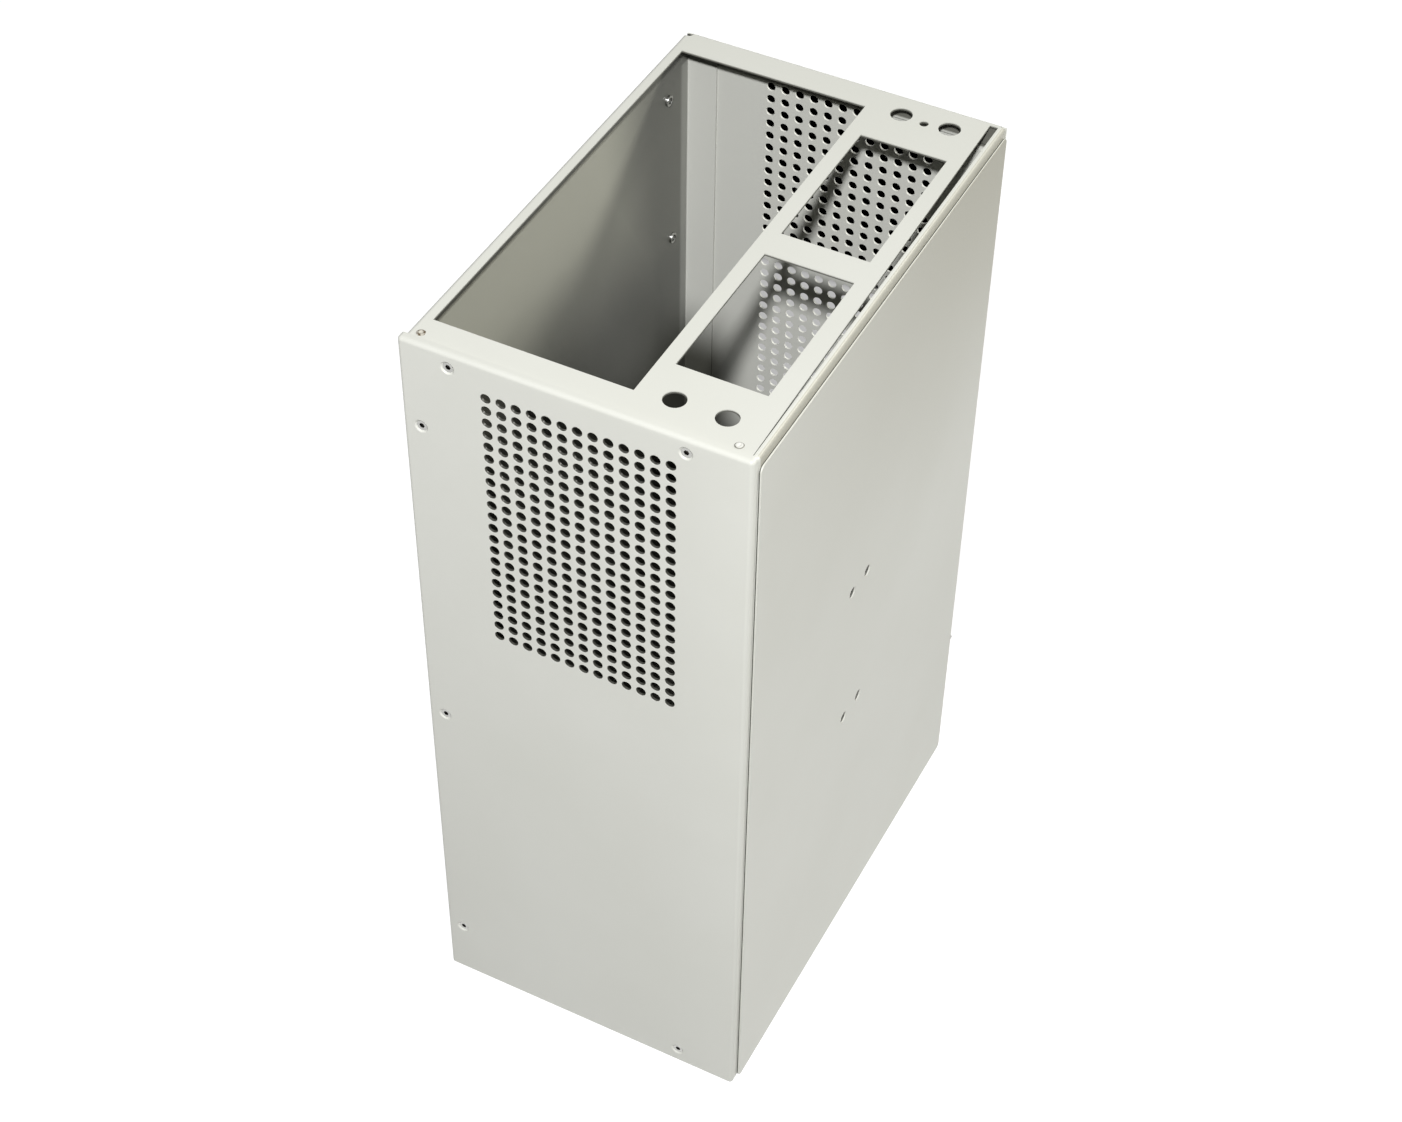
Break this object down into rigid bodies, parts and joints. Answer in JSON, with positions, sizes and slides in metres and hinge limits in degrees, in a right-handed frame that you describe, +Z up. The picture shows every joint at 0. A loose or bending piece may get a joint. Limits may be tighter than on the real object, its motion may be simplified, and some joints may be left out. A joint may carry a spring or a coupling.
{
  "type": "sheet metal chassis",
  "caption": "Tall narrow powder-coated sheet metal housing, with perforated front and rear panels, an open bay and two windows in the top, and a flat side cover with bracket holes.",
  "frame": {"origin": "centre of the underside, under the middle of the housing without its side cover and earth stud", "axes": "+Z up, -Y towards the perforated front panel, +X towards the flat side cover"},
  "size_m": [0.2015, 0.326, 0.517],
  "materials": {
    "powder_coat": "satin, fine texture",
    "zinc": "bright zinc plate"
  },
  "bodies": {
    "root": {"wrapper": "powder_coat", "front_panel": "powder_coat", "rear_panel": "powder_coat", "bottom_pan": "powder_coat", "front_post": "powder_coat", "rear_post": "powder_coat", "corner_bracket": "powder_coat", "right_cover": "powder_coat", "right_corner_rivet": "powder_coat", "front_screws": "zinc", "rear_screws": "zinc", "front_weld_nuts": "zinc", "rear_weld_nuts": "zinc", "cover_studs": "zinc", "cover_nuts": "zinc", "left_corner_rivet": "zinc", "clinch_nuts": "zinc", "earth_stud": "zinc", "earth_washer": "zinc", "earth_nut": "zinc"}
  },
  "joints": []
}
